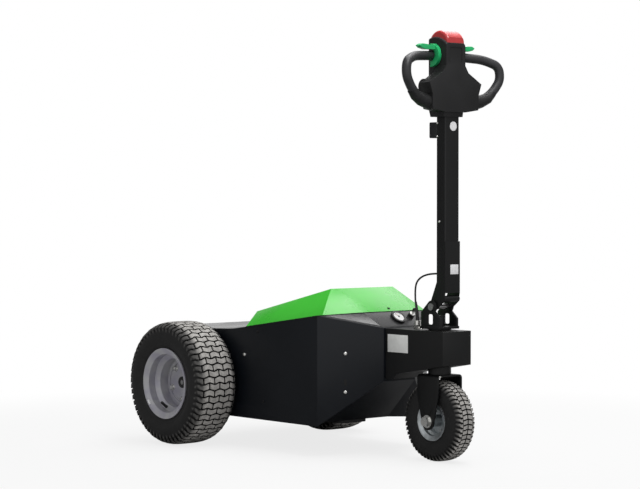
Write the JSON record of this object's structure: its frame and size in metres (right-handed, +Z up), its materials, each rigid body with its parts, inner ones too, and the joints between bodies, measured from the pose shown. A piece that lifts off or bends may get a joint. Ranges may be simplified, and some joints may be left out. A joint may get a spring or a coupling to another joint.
{
  "type": "pedestrian electric tow tug",
  "caption": "Three-wheeled pedestrian electric tow tug with a steel tub, green hood, steered front wheel and a tilting tiller with loop grips.",
  "frame": {"origin": "on the ground, in the middle of the model's length and width", "axes": "+X towards the tiller end, +Y to the vehicle's left, +Z up"},
  "size_m": [1.26, 0.824, 1.3389],
  "materials": {
    "body_black": "satin powder coat",
    "deck_grey": "satin powder coat",
    "hood_green": "satin powder coat",
    "steel_black": "satin black paint",
    "machined_steel": "machined",
    "hub_black": "black paint",
    "rim_grey": "silver grey paint",
    "rim_zinc": "zinc plated",
    "tyre_rubber": "tyre rubber",
    "heavy_block": "plain",
    "head_plastic": "moulded",
    "grip_rubber": "soft touch",
    "cap_red": "moulded",
    "paddle_green": "moulded",
    "gauge_white": "moulded",
    "switch_black": "moulded",
    "cable_black": "cable sheath"
  },
  "bodies": {
    "chassis": {"body_shell": "body_black", "belly_pan": "body_black", "deck": "deck_grey", "hood": "hood_green", "drive_unit": "heavy_block", "battery_block": "heavy_block", "rear_axle": "machined_steel", "axle_housing_right": "steel_black", "axle_housing_left": "steel_black", "front_beam": "body_black", "swivel_bearing": "steel_black", "tow_jaw": "steel_black", "battery_gauge": "gauge_white", "key_switch": "switch_black", "cable_gland": "switch_black", "cable_lower": "cable_black"},
    "steering": {"steering_head": "steel_black", "swivel_stem": "machined_steel", "fork": "steel_black", "front_axle": "machined_steel", "pivot_pin": "machined_steel", "cable_upper": "cable_black"},
    "tiller": {"tiller_sleeve": "steel_black", "tiller_tube": "steel_black", "junction_box": "head_plastic", "tiller_head": "head_plastic", "reverse_cap": "cap_red", "grip_right": "grip_rubber", "grip_left": "grip_rubber", "paddle_right": "paddle_green", "paddle_left": "paddle_green"},
    "front_wheel": {"tyre_front": "tyre_rubber", "rim_front": "rim_zinc"},
    "right_wheel": {"tyre_right": "tyre_rubber", "rim_right": "rim_grey", "hub_right": "hub_black"},
    "left_wheel": {"tyre_left": "tyre_rubber", "rim_left": "rim_grey", "hub_left": "hub_black"}
  },
  "joints": [
    {"name": "right_wheel_spin", "type": "hinge", "parent": "chassis", "child": "right_wheel", "pos_m": [-0.394, -0.329, 0.205], "axis": [0, 1, 0], "continuous": true},
    {"name": "left_wheel_spin", "type": "hinge", "parent": "chassis", "child": "left_wheel", "pos_m": [-0.394, 0.329, 0.205], "axis": [0, 1, 0], "continuous": true},
    {"name": "steer", "type": "hinge", "parent": "chassis", "child": "steering", "pos_m": [0.503, 0, 0.34], "axis": [0, 0, 1], "range_deg": [-90, 90], "deforming": ["cable_lower"]},
    {"name": "front_wheel_spin", "type": "hinge", "parent": "steering", "child": "front_wheel", "pos_m": [0.503, 0, 0.127], "axis": [0, 1, 0], "continuous": true},
    {"name": "tiller_tilt", "type": "hinge", "parent": "steering", "child": "tiller", "pos_m": [0.506, 0, 0.483], "axis": [0, 1, 0], "range_deg": [0, 75], "stiffness_Nm_per_rad": 45, "springref_deg": -8.59, "deforming": ["cable_upper"]}
  ]
}
